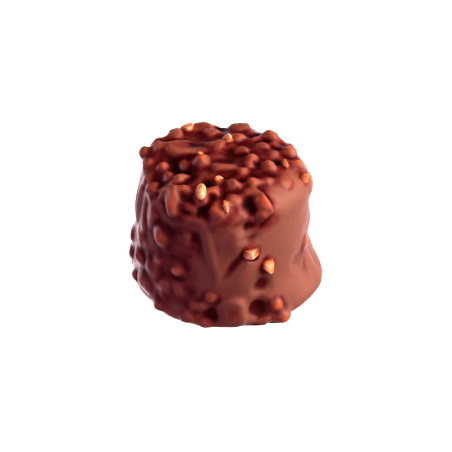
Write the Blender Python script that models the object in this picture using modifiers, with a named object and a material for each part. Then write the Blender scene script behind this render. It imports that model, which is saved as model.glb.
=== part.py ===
"""A hazelnut chocolate: a squat drum of filled chocolate, enrobed in milk chocolate with chopped hazelnuts.

The drum is a turned profile. Its surface is then moulded: broad swells give the uneven coat and the foot that the
chocolate ran out into, and small lumps are nuts that the coat covers. Nuts that stick out of the coat bare are
chipped solids, and one Boolean union fuses them to the coat.

A place on the surface is given by its azimuth (degrees round the axis, 0 at the front, -Y, and 90 at +X) and by its
climb (the distance along the profile from the edge of the flat base, up the wall and over the shoulder to the top).
"""

import math
import random

import bmesh
import bpy
import numpy as np
from mathutils import Matrix

MM = 0.001

# The drum: a wall that leans in, a round shoulder and a crown a little higher than the shoulder.
BASE_RADIUS = 20.2 * MM
NECK_RADIUS = 17.7 * MM
HEIGHT = 29.0 * MM
CROWN_RISE = 1.0 * MM
LIP_ROUND = 1.5 * MM
SHOULDER_ROUND = 5.5 * MM
# The axis of the drum stands here, so that the lumpy whole is centred on the origin.
AXIS_X = -0.6 * MM
AXIS_Y = -0.2 * MM
TURN_STEPS = 96
PROFILE_POINTS = 60
# The turned drum gets faces of this size all over before it is moulded.
MESH_SIZE = 1.2 * MM

LIP_CLIMB = LIP_ROUND * math.pi / 2
WALL_HEIGHT = HEIGHT - SHOULDER_ROUND - LIP_ROUND
WALL_CLIMB = LIP_CLIMB + math.hypot(WALL_HEIGHT, BASE_RADIUS - NECK_RADIUS)
SHOULDER_CLIMB = WALL_CLIMB + SHOULDER_ROUND * math.pi / 2
FULL_CLIMB = SHOULDER_CLIMB + NECK_RADIUS - SHOULDER_ROUND

# Nuts scattered by rule where the hand-placed ones leave off.
SCATTER_SEED = 11
SCATTER_TRIES = 5200
NUT_GAP_TOP = 3.0 * MM
NUT_GAP_WALL = 4.1 * MM
BARE_SHARE = 0.17
LOWEST_CLIMB = 1.6 * MM

# Everything below this height is pressed flat on the base.
BASE_CUT = 0.5 * MM
# A lump in the coat is this much wider than the nut in it.
COAT_SPREAD = 1.45
# Half-height of a chipped nut for each millimetre that it stands out of the coat.
NUT_DEPTH = 1.4
# A chipped nut starts as a block with its corners cut off, in a ball of radius 1.
NUT_BLOCK = 1.6
NUT_CORNER = 0.6
CHIP = 0.12
CHOCOLATE_COLOUR = (0.20, 0.055, 0.035, 1.0)

# Broad swells in the coat: azimuth, climb, half-width, half-height and rise, the last three in millimetres.
SWELLS = (
    (76, 2.0, 10.0, 3.1, 1.9),  # the foot that the chocolate ran out into, on the right
    (-64, 0.6, 7.5, 2.6, -1.3),  # the base tucked in, on the left
    (84, 19.0, 12.0, 9.0, -0.9),  # the waist above the right foot
    (-3, 18.0, 5.5, 11.0, 0.7),  # the pad on the front
    (-30, 19.0, 7.0, 9.0, -0.5),  # the hollow beside it
    (20, 23.0, 5.0, 4.0, -0.5),
    (26, 10.0, 3.0, 2.5, -0.4),
    (-45, 36.5, 5.0, 6.0, -0.9),  # the hollow in the front of the crown
    (-118, 31.0, 8.5, 4.0, 1.4),  # the full shoulder on the left
    (-90, 23.0, 8.0, 7.0, -0.8),
    (120, 8.0, 8.0, 7.0, 0.7),
    (-160, 5.0, 10.0, 5.0, 0.6),
)

# Nuts seen from the front: azimuth, climb, length, width, rise (millimetres), turn and whether the coat covers it.
# Turn is the angle of the nut's length from the horizontal, anticlockwise seen from outside.
PLACED_NUTS = (
    (-151, 30.0, 3.2, 2.4, 1.2, 0, False),
    (-112, 27.5, 1.8, 1.7, 1.4, 0, True),
    (-79, 33.0, 1.8, 1.5, 0.8, 0, False),
    (-109, 32.3, 2.8, 2.2, 0.9, 20, True),
    (-82, 41.0, 2.4, 2.2, 1.0, 0, False),
    (-12, 37.0, 1.6, 1.8, 0.9, 90, False),
    (-22, 32.2, 3.6, 1.8, 1.2, 80, False),
    (-36, 32.8, 1.5, 1.4, 0.8, 0, True),
    (-42, 29.5, 5.2, 2.2, 1.4, 80, True),
    (-52, 36.5, 3.0, 1.7, 1.1, 60, True),
    (-73, 28.3, 2.6, 2.2, 1.0, 30, True),
    (-5, 27.8, 4.4, 3.2, 1.5, 60, True),
    (2, 29.6, 2.8, 1.2, 1.5, 90, False),
    (-170, 31.5, 5.0, 3.0, 1.3, 0, True),
    (163, 31.6, 6.0, 3.0, 1.4, 0, True),
    (-125, 31.5, 5.0, 2.4, 0.9, 0, True),
    (178, 37.0, 2.4, 2.0, 1.1, 30, False),
    (160, 37.5, 2.6, 2.0, 0.9, 0, True),
    (143, 29.8, 2.8, 2.4, 1.7, 20, False),
    (112, 29.8, 2.6, 2.4, 1.7, 0, False),
    (84, 32.8, 2.2, 1.1, 0.9, 20, False),
    (88, 40.0, 1.8, 1.4, 0.8, 0, False),
    (74, 36.3, 2.4, 1.9, 1.0, 80, False),
    (87, 26.8, 3.0, 2.4, 1.5, 30, False),
    (47, 33.4, 1.4, 1.3, 0.5, 0, True),
    (31, 35.0, 1.8, 1.5, 0.8, 0, True),
    (27, 32.2, 2.4, 2.0, 0.8, 90, True),
    (12, 34.0, 2.8, 2.4, 1.1, 40, True),
    (26, 28.6, 4.4, 2.4, 1.5, 80, False),
    (158, 34.5, 4.0, 2.6, 0.9, 0, True),
    (132, 32.0, 3.0, 2.0, 0.8, 0, True),
    (113, 35.0, 2.0, 1.8, 0.7, 0, True),
    (97, 29.0, 2.2, 1.8, 0.7, 0, True),
    (22, 38.5, 1.6, 1.4, 0.7, 0, True),
    (42, 38.0, 1.6, 1.4, 0.6, 0, True),
    (-150, 36.5, 3.0, 2.0, 0.8, 40, True),
    (-130, 40.0, 2.6, 2.0, 0.6, 0, True),
    (-43, 20.0, 3.4, 2.9, 1.4, 90, False),
    (-29, 13.6, 2.0, 1.8, 1.0, 90, False),
    (-43, 13.5, 1.6, 1.1, 0.5, 0, True),
    (-29, 10.0, 4.0, 2.0, 0.9, 90, True),
    (-7, 9.4, 2.0, 1.8, 0.8, 90, True),
    (-17, 6.8, 2.6, 1.5, 0.7, 90, True),
    (28, 15.3, 3.8, 2.6, 1.3, 90, False),
    (17, 19.4, 3.2, 1.8, 1.2, 10, False),
    (32, 5.2, 2.2, 1.8, 1.0, 0, False),
    (35, 2.4, 2.6, 2.4, 1.7, 0, False),
    (7, 5.2, 4.8, 4.4, 1.3, 90, True),
    (73, 12.5, 1.6, 1.4, 0.6, 90, True),
    (19, 22.4, 2.6, 1.4, 0.5, 10, True),
    (25, 1.6, 3.4, 2.6, 1.3, 0, True),
    (-88, 15.0, 4.0, 3.0, 1.0, 90, True),
    (-84, 8.5, 4.0, 3.2, 1.1, 90, True),
)
# The smooth stretch of coat on the right, with no scattered nuts: azimuths, and the climb that it reaches up to.
SMOOTH_FROM, SMOOTH_TO, SMOOTH_TOP = -14, 114, 30.0 * MM


class Nut:
    """One chopped hazelnut on the drum, with sizes in metres."""

    def __init__(self, azimuth, climb, length, width, rise, turn, covered):
        self.half_length = length / 2
        self.half_width = width / 2
        self.rise = rise
        self.covered = covered
        point, normal = surface(np.array([math.radians(azimuth)]), np.array([climb]))
        self.centre = point[0]
        self.normal = normal[0]
        across = np.array([math.cos(math.radians(azimuth)), math.sin(math.radians(azimuth)), 0.0])
        up = np.cross(self.normal, across)
        angle = math.radians(turn)
        self.along = math.cos(angle) * across + math.sin(angle) * up
        self.aside = np.cross(self.normal, self.along)


def profile(climb):
    """Radius, height and outward normal (radial and vertical part) of the drum at these climbs."""
    lip = np.clip(climb / LIP_ROUND, 0, math.pi / 2) - math.pi / 2
    wall = np.clip((climb - LIP_CLIMB) / (WALL_CLIMB - LIP_CLIMB), 0, 1)
    shoulder = np.clip((climb - WALL_CLIMB) / SHOULDER_ROUND, 0, math.pi / 2)
    crown = np.clip((climb - SHOULDER_CLIMB) / (FULL_CLIMB - SHOULDER_CLIMB), 0, 1)
    radius = BASE_RADIUS - LIP_ROUND * (1 - np.cos(lip)) - (BASE_RADIUS - NECK_RADIUS) * wall
    radius = (radius - SHOULDER_ROUND * (1 - np.cos(shoulder))) * (1 - crown)
    height = LIP_ROUND * (1 + np.sin(lip)) + WALL_HEIGHT * wall
    height = height + SHOULDER_ROUND * np.sin(shoulder) + CROWN_RISE * (1 - (1 - crown) ** 2)
    tilt = lip + shoulder
    return radius, height, np.cos(tilt), np.sin(tilt)


def surface(azimuth, climb):
    """Points and outward normals of the plain drum at azimuths in radians."""
    radius, height, outward, upward = profile(climb)
    points = np.stack([radius * np.sin(azimuth), -radius * np.cos(azimuth), height], axis=1)
    normals = np.stack([outward * np.sin(azimuth), -outward * np.cos(azimuth), upward], axis=1)
    return points, normals


def nut_gap(azimuth, climb):
    """The least distance between scattered nuts here, or None where the coat is smooth."""
    if SMOOTH_FROM < azimuth < SMOOTH_TO and climb < SMOOTH_TOP:
        return None
    share = min(max((climb - WALL_CLIMB) / (SHOULDER_CLIMB - WALL_CLIMB), 0), 1)
    return NUT_GAP_WALL + (NUT_GAP_TOP - NUT_GAP_WALL) * share


def all_nuts():
    """The placed nuts, then scattered ones wherever they keep their distance from all before them."""
    nuts = [Nut(a, c * MM, l * MM, w * MM, r * MM, t, k) for a, c, l, w, r, t, k in PLACED_NUTS]
    draw = random.Random(SCATTER_SEED)
    for _ in range(SCATTER_TRIES):
        azimuth = draw.uniform(-180, 180)
        climb = draw.uniform(LOWEST_CLIMB, FULL_CLIMB)
        length = draw.uniform(2.2, 3.9) * MM
        width = length * draw.uniform(0.6, 0.95)
        rise = length * draw.uniform(0.3, 0.44)
        turn = draw.uniform(0, 180)
        covered = draw.random() > BARE_SHARE
        radius = profile(np.array([climb]))[0][0]
        # Fewer tries near the axis, so that the crown isn't crowded.
        if draw.random() * BASE_RADIUS > radius:
            continue
        gap = nut_gap(azimuth, climb)
        if gap is None:
            continue
        nut = Nut(azimuth, climb, length, width, rise, turn, covered)
        if all(np.linalg.norm(nut.centre - other.centre) > gap for other in nuts):
            nuts.append(nut)
    return nuts


def bump(points, nut, spread):
    """How much of a nut's rise the coat has at these points: 1 over its middle, 0 outside its spread."""
    offset = points - nut.centre
    along = offset @ nut.along / (nut.half_length * spread)
    aside = offset @ nut.aside / (nut.half_width * spread)
    depth = offset @ nut.normal / (nut.half_length * 2)
    reach = np.clip(1 - along**2 - aside**2 - depth**2, 0, 1)
    return reach**1.5


def swell_of(points):
    """The broad rise and fall of the coat at these points of the plain drum."""
    rise = np.zeros(len(points))
    for azimuth, climb, half_width, half_height, height in SWELLS:
        swell = Nut(azimuth, climb * MM, 2 * half_width * MM, 2 * half_height * MM, 0, 0, True)
        rise += height * MM * bump(points, swell, 1.6)
    return rise


def coat_rise(points, nuts):
    """The coat's rise over the plain drum: swells, and lumps where it covers a nut or creeps up a bare one."""
    lumps = np.zeros(len(points))
    for nut in nuts:
        height = nut.rise if nut.covered else nut.rise * 0.35
        lumps = np.maximum(lumps, height * bump(points, nut, COAT_SPREAD))
    return swell_of(points) + lumps


def turned_drum(name):
    """The plain drum as a mesh object: its profile, turned by a Screw modifier that is then applied."""
    radius, height, _, _ = profile(np.linspace(0, FULL_CLIMB, PROFILE_POINTS))
    outline = [(0.0, 0.0, 0.0)] + [(r, 0.0, z) for r, z in zip(radius, height)]
    outline.reverse()
    mesh = bpy.data.meshes.new(name)
    mesh.from_pydata(outline, [(i, i + 1) for i in range(len(outline) - 1)], [])
    turned = bpy.data.objects.new(name, mesh)
    bpy.context.scene.collection.objects.link(turned)
    screw = turned.modifiers.new("turn", "SCREW")
    screw.steps = screw.render_steps = TURN_STEPS
    screw.use_merge_vertices = True
    screw.merge_threshold = 0.01 * MM
    remesh = turned.modifiers.new("even faces", "REMESH")
    remesh.mode = "VOXEL"
    remesh.voxel_size = MESH_SIZE
    return with_modifiers_applied(turned)


def with_modifiers_applied(obj):
    """The object with its evaluated mesh in place of its modifiers."""
    graph = bpy.context.evaluated_depsgraph_get()
    mesh = bpy.data.meshes.new_from_object(obj.evaluated_get(graph))
    obj.modifiers.clear()
    obj.data = mesh
    return obj


def outward_directions(points):
    """Which way the coat grows at these points: sideways on the wall, up on the crown, and between on the shoulder."""
    radius = np.hypot(points[:, 0], points[:, 1])
    heart = np.minimum(radius, NECK_RADIUS - SHOULDER_ROUND)
    sideways = (radius - heart) / np.maximum(radius, 0.01 * MM)
    upward = np.maximum(points[:, 2] - (HEIGHT - SHOULDER_ROUND), 0)
    ways = np.column_stack([points[:, 0] * sideways, points[:, 1] * sideways, upward])
    return ways / np.maximum(np.linalg.norm(ways, axis=1), 0.01 * MM)[:, None]


def mould(drum, nuts):
    """Moves the drum's vertices out or in by the coat's rise, and makes the base flat."""
    points = np.empty(len(drum.data.vertices) * 3)
    drum.data.vertices.foreach_get("co", points)
    points = points.reshape(-1, 3)
    moved = points + outward_directions(points) * coat_rise(points, nuts)[:, None]
    moved[points[:, 2] < BASE_CUT, 2] = 0
    drum.data.vertices.foreach_set("co", moved.ravel())
    base = bmesh.new()
    base.from_mesh(drum.data)
    flat = [face for face in base.faces if all(vertex.co.z == 0 for vertex in face.verts)]
    bmesh.ops.dissolve_faces(base, faces=flat, use_verts=True)
    bmesh.ops.triangulate(base, faces=base.faces)
    base.to_mesh(drum.data)
    base.free()
    drum.data.update()


def chipped_nut(name, nut, draw, collection):
    """A bare nut: a block with cut corners, stretched to the nut's size, chipped at random and sunk in the coat."""
    shape = bmesh.new()
    bmesh.ops.create_cube(shape, size=NUT_BLOCK)
    bmesh.ops.bevel(shape, geom=shape.verts[:], offset=NUT_CORNER, segments=1, affect="VERTICES")
    for vertex in shape.verts:
        vertex.co *= 1 + draw.uniform(-CHIP, CHIP)
    depth = nut.rise * NUT_DEPTH
    lift = nut.rise - depth
    frame = Matrix(np.column_stack([nut.along, nut.aside, nut.normal]).tolist()).to_4x4()
    frame.translation = nut.centre + nut.normal * (lift + swell_of(nut.centre[None, :])[0])
    sizes = Matrix.Diagonal((nut.half_length, nut.half_width, depth, 1))
    bmesh.ops.transform(shape, matrix=frame @ sizes, verts=shape.verts)
    bmesh.ops.recalc_face_normals(shape, faces=shape.faces)
    bmesh.ops.triangulate(shape, faces=shape.faces)
    mesh = bpy.data.meshes.new(name)
    shape.to_mesh(mesh)
    shape.free()
    collection.objects.link(bpy.data.objects.new(name, mesh))


def fuse_bare_nuts(coat, nuts):
    """Joins the bare nuts to the coat in one Boolean union, then removes them."""
    bits = bpy.data.collections.new("bare nuts")
    bpy.context.scene.collection.children.link(bits)
    draw = random.Random(SCATTER_SEED)
    for index, nut in enumerate(n for n in nuts if not n.covered):
        chipped_nut(f"nut_{index:02d}", nut, draw, bits)
    union = coat.modifiers.new("fuse", "BOOLEAN")
    union.operation = "UNION"
    union.operand_type = "COLLECTION"
    union.collection = bits
    union.solver = "MANIFOLD"
    with_modifiers_applied(coat)
    drop_scraps(coat.data)
    for bit in list(bits.objects):
        bpy.data.objects.remove(bit)
    bpy.data.collections.remove(bits)


def drop_scraps(mesh):
    """Keeps the one closed body and drops any scrap that the union left loose."""
    shape = bmesh.new()
    shape.from_mesh(mesh)
    unseen = set(shape.verts)
    bodies = []
    while unseen:
        body = {unseen.pop()}
        edge_of_body = list(body)
        while edge_of_body:
            vertex = edge_of_body.pop()
            for edge in vertex.link_edges:
                other = edge.other_vert(vertex)
                if other in unseen:
                    unseen.discard(other)
                    body.add(other)
                    edge_of_body.append(other)
        bodies.append(body)
    bodies.sort(key=len)
    for body in bodies[:-1]:
        bmesh.ops.delete(shape, geom=list(body), context="VERTS")
    shape.to_mesh(mesh)
    shape.free()


def chocolate_material():
    """Milk chocolate with a satin gloss."""
    material = bpy.data.materials.new("milk chocolate")
    material.use_nodes = True
    shader = material.node_tree.nodes["Principled BSDF"]
    shader.inputs["Base Color"].default_value = CHOCOLATE_COLOUR
    shader.inputs["Roughness"].default_value = 0.35
    shader.inputs["Metallic"].default_value = 0.0
    return material


def main():
    for obj in list(bpy.data.objects):
        bpy.data.objects.remove(obj)
    nuts = all_nuts()
    ball = turned_drum("chocolate_ball")
    mould(ball, nuts)
    fuse_bare_nuts(ball, nuts)
    ball.data.transform(Matrix.Translation((AXIS_X, AXIS_Y, 0)))
    ball.data.materials.clear()
    ball.data.materials.append(chocolate_material())
    ball.data.shade_smooth()
    ball.data.set_sharp_from_angle(angle=math.radians(40))


main()
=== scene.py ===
"""The looks of a drum-shaped hazelnut praline: milk chocolate over chopped nuts, some of them bare.

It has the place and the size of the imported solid. The coat is made the way the real one comes about.
Chopped nuts are stuck to a drum, and one skin is drawn over all of them and left to flow together. The
nuts that the chocolate didn't cover are pieces of their own, which stand out of the skin.

A place on the drum is given by its azimuth, in degrees round the axis from the front (-Y) towards +X, and
by its climb, in millimetres along the profile from the edge of the base, up the wall and over the
shoulder to the top.
"""

import logging
import math
import random
from dataclasses import dataclass, field
from enum import Enum

import bpy
import numpy as np
from mathutils import Matrix, Vector
from mathutils.bvhtree import BVHTree


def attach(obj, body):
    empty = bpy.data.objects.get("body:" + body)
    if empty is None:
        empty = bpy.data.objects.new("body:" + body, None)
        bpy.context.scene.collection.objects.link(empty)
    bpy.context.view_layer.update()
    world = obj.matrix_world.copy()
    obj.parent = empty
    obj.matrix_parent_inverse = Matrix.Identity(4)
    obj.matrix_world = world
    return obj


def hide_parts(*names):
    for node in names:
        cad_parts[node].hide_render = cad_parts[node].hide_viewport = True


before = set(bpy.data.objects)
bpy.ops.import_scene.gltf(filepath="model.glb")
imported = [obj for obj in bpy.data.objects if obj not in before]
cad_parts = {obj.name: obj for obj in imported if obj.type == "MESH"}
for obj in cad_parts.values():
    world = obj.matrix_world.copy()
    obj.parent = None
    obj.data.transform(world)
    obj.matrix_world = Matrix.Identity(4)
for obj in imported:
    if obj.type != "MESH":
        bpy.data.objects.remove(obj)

Thing = bpy.types.Object
Socket = bpy.types.NodeSocket
LOG = logging.getLogger("praline")
MM = 0.001
TINY = 1e-6
NODE = "chocolate_ball"

# The part of the wall that has hardly any nuts: its azimuths in degrees, and its top in millimetres of
# climb. It reaches higher from the corner on.
SMOOTH_FROM, SMOOTH_TO, SMOOTH_TOP = -23, 112, 26
SMOOTH_CORNER, SMOOTH_CORNER_TOP = 30, 34


class Dress(Enum):
    """How much chocolate a chopped nut has on it."""

    COATED = "coated"
    BARE = "bare"


class Chunk(Enum):
    """The ways in which a hazelnut breaks, each with the flats that are cut from a ball of radius 1."""

    BLOCK = ((0.1, 0.1, 1.0, 0.62), (0.9, 0.2, 0.3, 0.66), (-0.8, 0.5, 0.2, 0.68), (0.1, -0.9, 0.3, 0.7))
    WEDGE = ((0.6, 0.1, 0.8, 0.5), (-0.7, 0.2, 0.7, 0.62), (0.1, 0.9, 0.2, 0.66))
    HALF = ((0.1, 0.2, 1.0, 0.45), (0.2, -1.0, 0.4, 0.75))
    SHARD = ((0.9, 0.1, 0.5, 0.5), (-0.9, 0.3, 0.5, 0.55), (0.1, -0.9, 0.5, 0.6), (0.2, 0.9, 0.4, 0.7))
    BEAD = ((0.4, 0.3, 0.9, 0.85),)


class Shows(Enum):
    """Where a lamp shows: whether in the matte light, and whether in the gloss."""

    BOTH = (True, True)
    MATTE = (True, False)
    GLOSS = (False, True)


@dataclass
class Nut:
    """One chopped nut on the drum."""

    azimuth: float  # degrees round the axis
    climb: float  # millimetres up the profile
    length: float  # millimetres along the nut
    width: float  # millimetres across it
    rise: float  # millimetres that it stands out of the drum
    thin: float  # how thin the chocolate on it is, from 0 to 1
    chunk: Chunk  # how it is broken
    turn: float = 0.0  # degrees from the horizontal to its length, anticlockwise seen from outside
    dress: Dress = Dress.COATED  # whether the chocolate covers it

    @property
    def lonely(self) -> bool:
        """Whether it sits on the smooth part of the wall."""
        top = SMOOTH_CORNER_TOP if self.azimuth > SMOOTH_CORNER else SMOOTH_TOP
        return SMOOTH_FROM < self.azimuth < SMOOTH_TO and self.climb < top


# Short names for the table below.
BLOCK, WEDGE, HALF, SHARD, BEAD = Chunk
BARE = Dress.BARE

# The nuts that can be told apart from the front.
SEEN_NUTS = tuple(Nut(*row) for row in (
    # The crown's far rim, left to right.
    (-104, 28.6, 2, 1.8, 2, 0.1, BEAD),
    (-119, 29, 3, 2.4, 0.8, 0.2, BLOCK),
    (-147, 31.6, 4.2, 2.8, 1.3, 0.5, BLOCK, 0, BARE),
    (-159, 31.6, 4, 3, 1.5, 0.1, HALF),
    (165, 31.4, 3.4, 3.4, 1.4, 0.2, HALF),
    (-130, 32.3, 3.6, 2.2, 0.9, 0.5, BLOCK),
    (131, 32, 2.8, 2.6, 1.9, 1, BEAD, 20),
    (102, 31, 2.6, 2.4, 1.6, 1, BEAD),
    (89, 29.8, 1.9, 2.2, 1.1, 1, BEAD),
    (76, 28.2, 2.9, 2.4, 1.7, 0.5, SHARD, 30, BARE),
    (84, 25.4, 3.2, 2.8, 0.7, 0.3, HALF, 90),
    # The crown's middle, from the far side to the near side.
    (-165, 35, 3.4, 2.2, 0.9, 0.6, BLOCK),
    (-112, 37.4, 7.4, 4.2, 1.1, 0.1, HALF, 112),
    (-106, 32, 2.6, 2.2, 1.1, 0.8, BLOCK, 20),
    (170, 39.2, 3, 2.5, 1.6, 0.5, WEDGE, 30, BARE),
    (156, 37.4, 2.8, 2.2, 1.2, 0.9, BLOCK),
    (150, 33.4, 3.4, 2.2, 0.5, 0.3, BLOCK),
    (137, 35.6, 2.6, 2, 0.9, 0.4, WEDGE),
    (118, 36, 2.4, 2, 1, 0.6, BLOCK),
    (120, 41, 3, 2.2, 0.8, 0.4, BLOCK),
    (99, 35, 2.2, 1.8, 0.8, 0.4, BEAD),
    (80, 32.6, 3.5, 1.4, 1.5, 0.5, SHARD, 20, BARE),
    (78, 39.3, 2, 1.6, 1.2, 1, BEAD),
    (58, 39, 1.8, 1.4, 0.8, 0.7, BEAD),
    (68, 35.4, 2.2, 2, 1.5, 1, BEAD, 80),
    (-160, 41, 3.6, 2.8, 0.8, 0.4, BLOCK),
    (0, 41, 3.6, 2.4, 0.7, 0.5, HALF),
    (-61, 40.4, 2.6, 2.3, 1.6, 1, BEAD),
    (-72, 40.7, 2.6, 1.5, 1.95, 0.5, WEDGE, 10, BARE),
    (-78, 33, 1.9, 1.6, 1, 1, BEAD),
    (-72, 37.2, 2.6, 2, 0.8, 0.3, BLOCK),
    (35, 38.4, 1.8, 1.5, 0.9, 0.8, BEAD),
    (47, 33.1, 1.5, 1.2, 0.8, 0.7, BEAD),
    (32, 34.3, 2, 1.8, 1.3, 1, BEAD),
    (25, 32, 2.6, 2.4, 0.9, 0.2, BLOCK, 90),
    (12, 35.2, 3.2, 2.8, 1.5, 0.6, WEDGE, 20),
    (58, 30.5, 2.4, 2, 0.5, 0.2, BEAD),
    # The crown's near rim, left to right.
    (-88, 29.5, 2.4, 2, 0.9, 0.3, BLOCK),
    (-60, 28.5, 2.8, 2.4, 1.1, 0.3, BLOCK, 30),
    (-62, 33, 2.2, 1.8, 0.9, 0.4, BEAD),
    (-50, 34.6, 3, 1.9, 1.4, 0.6, BLOCK, 90),
    (-34, 31.7, 1.7, 1.5, 1.2, 1, BEAD),
    (-37, 28.7, 5, 2, 1.7, 1, BEAD, 112),
    (-18, 31.8, 4.4, 2.3, 2, 0.5, BEAD, 108, BARE),
    (-9, 32.8, 2.4, 2.1, 1.2, 0.8, BLOCK),
    (-5, 36.3, 2.3, 1.7, 1.2, 0.5, BLOCK, 20, BARE),
    (-4, 28.6, 3.4, 2.8, 1.8, 0.8, WEDGE, 60),
    (2, 29.3, 3.4, 1.7, 2.2, 0.5, SHARD, 80, BARE),
    (28.5, 28.9, 4, 2.2, 1.9, 1, BLOCK, 98),
    (27, 27.2, 2, 1.6, 1.5, 1, BEAD),
    (8, 30.6, 2.1, 1.9, 1, 0.4, BEAD),
    # The wall, on the left of the front.
    (-43, 20, 2.7, 2.5, 1.7, 1, BEAD, 90),
    (-44, 13.6, 2, 1.4, 0.8, 1, SHARD),
    (-29, 13.7, 1.8, 1.7, 1.1, 1, BEAD, 90),
    (-28, 9.8, 3, 2.2, 0.5, 0.4, BLOCK, 80),
    (-21, 3.2, 3.2, 2.4, 0.8, 0.3, BLOCK, 10),
    (-10, 2.6, 2.8, 2, 0.7, 0.3, WEDGE),
    (-12, 6.8, 2.2, 2, 0.6, 0.5, BLOCK),
    (-7, 9.2, 1.8, 1.7, 0.8, 0.8, BEAD, 90),
    (-18, 6.2, 1.9, 1.6, 0.5, 0.4, BEAD, 90),
    (-38, 8.6, 2.8, 2.2, 0.5, 0.2, BLOCK),
    (-54, 22.6, 4, 2.2, 0.6, 0.1, BLOCK, 60),
    (-66, 16, 3.8, 2.4, 0.7, 0.1, BLOCK, 80),
    (-53, 11.4, 2.8, 2, 0.5, 0.2, WEDGE),
    (-25, 20.5, 4.6, 2.2, 0.4, 0.1, BLOCK, 80),
    (-86, 12.5, 3.6, 3, 1.2, 0.1, BLOCK, 90),
    (-88, 7, 3.6, 3, 1.2, 0.1, BLOCK, 90),
    (-75, 3.5, 2.6, 2.2, 1, 0.1, BLOCK),
    (-43, 2.6, 2.4, 2, 0.8, 0.1, BLOCK),
    # The wall, on the right of the front.
    (17.5, 19.3, 3.6, 2.3, 1.5, 0.5, WEDGE, 8, BARE),
    (28.2, 15.4, 3.7, 2.6, 1.7, 0.5, BLOCK, 84, BARE),
    (32.5, 5.6, 2.4, 2, 1.4, 1, BLOCK),
    (36, 2.1, 2.8, 2.4, 1.9, 1, BEAD),
    (26, 1.8, 2.4, 2, 0.9, 0.2, BLOCK),
    (6.5, 5.2, 5.2, 4.6, 1.3, 0.3, HALF, 90),
    (69, 13.4, 1.8, 1.4, 0.9, 1, BEAD, 90),
))


@dataclass
class Swell:
    """A soft rise or hollow of the coat."""

    azimuth: float  # degrees round the axis, at its middle
    climb: float  # millimetres up the profile, at its middle
    half_width: float  # millimetres from its middle to its side
    half_height: float  # millimetres from its middle to its top
    rise: float  # millimetres outwards, or inwards if less than 0
    turn: float = 0.0  # degrees that it leans, anticlockwise seen from outside


SWELLS = tuple(Swell(*row) for row in (
    (66, 1, 17, 5.2, 1.4),
    (84, 2.2, 10, 4.4, 0.9),
    (-64, 0.6, 12, 4.2, -1),
    (84, 12, 17, 8.5, -0.9),
    (86, 25.5, 12, 5, 0.6),
    (-30, 19, 12, 16, -0.5),
    (18, 24.5, 7, 3.8, -0.5),
    (-118, 31, 15, 7, 1.2),
    (-90, 23, 15, 12, -0.8),
    (145, 8, 13, 11, 0.7),
    (-160, 5, 16, 8, 0.6),
    # The pad on the front: its left edge, its sunk middle, and the groove on its right.
    (2, 17, 9, 14, 0.7, 6),
    (-8, 19.5, 1.6, 9, 0.36, 14),
    (-13, 19, 2.4, 9.6, -0.22, 13),
    (-1, 20.5, 3.4, 6, -0.4, 12),
    (7.5, 17, 2.3, 6.8, -0.75, -36),
    (14, 14, 3.4, 6.4, 0.4, -36),
    # The ripples above the pad, and the lip of the foot's bulge.
    (14, 25, 3, 2.2, -0.5),
    (18, 22.2, 2.8, 1.8, -0.4),
    (9, 23.5, 1.6, 4.6, 0.35, -28),
    (73, 6.5, 3, 6.6, 0.4),
    (62, 7.5, 4, 5.8, -0.3),
    # Round the two bare nuts and the foot of the front.
    (18.5, 17.6, 1.5, 0.8, -0.8),
    (24, 10.6, 3.2, 3.4, -0.8),
    (21.5, 5.4, 3.2, 3.8, -1.2),
    (-6, 4.2, 3.2, 3.6, -0.7),
    (56, 12, 4, 3.4, -0.4),
    # The step and the hollows between the lumps of the crown.
    (-59, 35.8, 6.5, 4.4, -0.9),
    (79, 43.6, 5, 3.6, -0.6),
    (20.5, 29, 2.8, 3.4, -0.8),
    (-12, 28.2, 2.4, 2.8, -0.6),
    (83, 34.3, 2, 2, -0.4),
    (64, 37.2, 2.2, 2, -0.3),
    (-19, 35, 2.6, 3, -0.5),
    (-22, 28.4, 3.4, 2.6, -0.6),
    (-62, 31, 4, 3, -0.5),
    (-179, 31, 2.6, 5, -0.7),
    # The rim's outline on the right and at the foot.
    (116, 30, 2.6, 3.4, -0.8),
    (95, 30.5, 1.6, 2.6, -0.4),
    (92, 15.5, 8, 4, 0.6),
    (-66, 1, 5, 3, 0.5),
    # The long soft folds of the left side.
    (-76, 22.5, 2, 7, 0.6, -4),
    (-63, 21, 1.8, 5.5, 0.5, 12),
    (-89, 20.5, 2.4, 5.5, 0.5, 6),
    (-86, 20, 14, 8, 0.6),
))


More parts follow.
